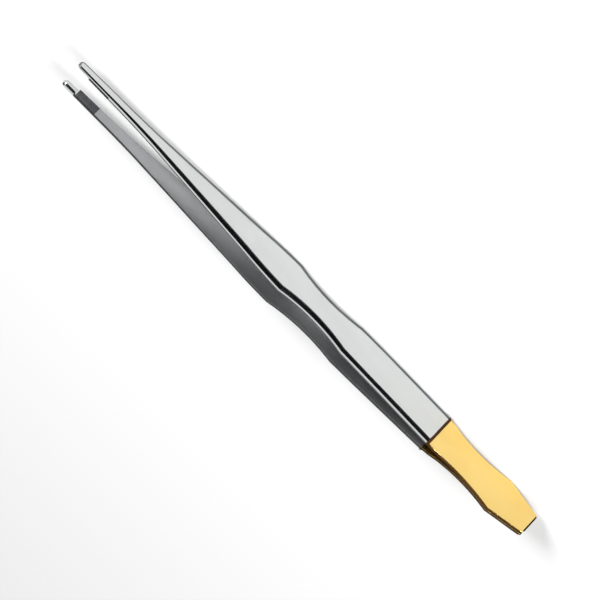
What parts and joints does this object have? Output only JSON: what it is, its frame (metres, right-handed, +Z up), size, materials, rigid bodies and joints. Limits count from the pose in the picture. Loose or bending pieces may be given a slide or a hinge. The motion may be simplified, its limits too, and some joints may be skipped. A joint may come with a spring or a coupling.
{
  "type": "stamp tongs",
  "caption": "Long spring tongs with slim round-nosed tips, hatched grip inserts, a finger waist and a flat gold-plated tail.",
  "frame": {"origin": "middle of the footprint, on the surface the tongs lie on", "axes": "+X along the tongs towards the tips, +Y from the front arm to the rear arm, the way the tips open, +Z up across the width of the arms"},
  "size_m": [0.155, 0.0118, 0.0104],
  "materials": {
    "steel": "satin polished stainless steel",
    "gold_plating": "gold-plated steel, polished",
    "carbide": "hatched tungsten carbide, matt",
    "weld": "weld metal under the plating"
  },
  "bodies": {
    "tail": {"front_tail_leaf": "gold_plating", "rear_tail_leaf": "gold_plating", "tail_weld": "weld"},
    "front_arm": {"front_blade": "steel", "front_spring_leaf": "gold_plating", "front_grip_insert": "carbide"},
    "rear_arm": {"rear_blade": "steel", "rear_spring_leaf": "gold_plating", "rear_grip_insert": "carbide"}
  },
  "joints": [
    {"name": "front_arm_flex", "type": "hinge", "parent": "tail", "child": "front_arm", "pos_m": [-0.054, -0.00035, 0.00522], "axis": [0, 0, 1], "range_deg": [0, 1.94], "stiffness_Nm_per_rad": 2.5},
    {"name": "rear_arm_flex", "type": "hinge", "parent": "tail", "child": "rear_arm", "pos_m": [-0.054, 0.00035, 0.00522], "axis": [0, 0, -1], "range_deg": [0, 1.94], "stiffness_Nm_per_rad": 2.5}
  ],
  "couplings": [
    {"joint": "rear_arm_flex", "follows": "front_arm_flex", "ratio": 1}
  ]
}
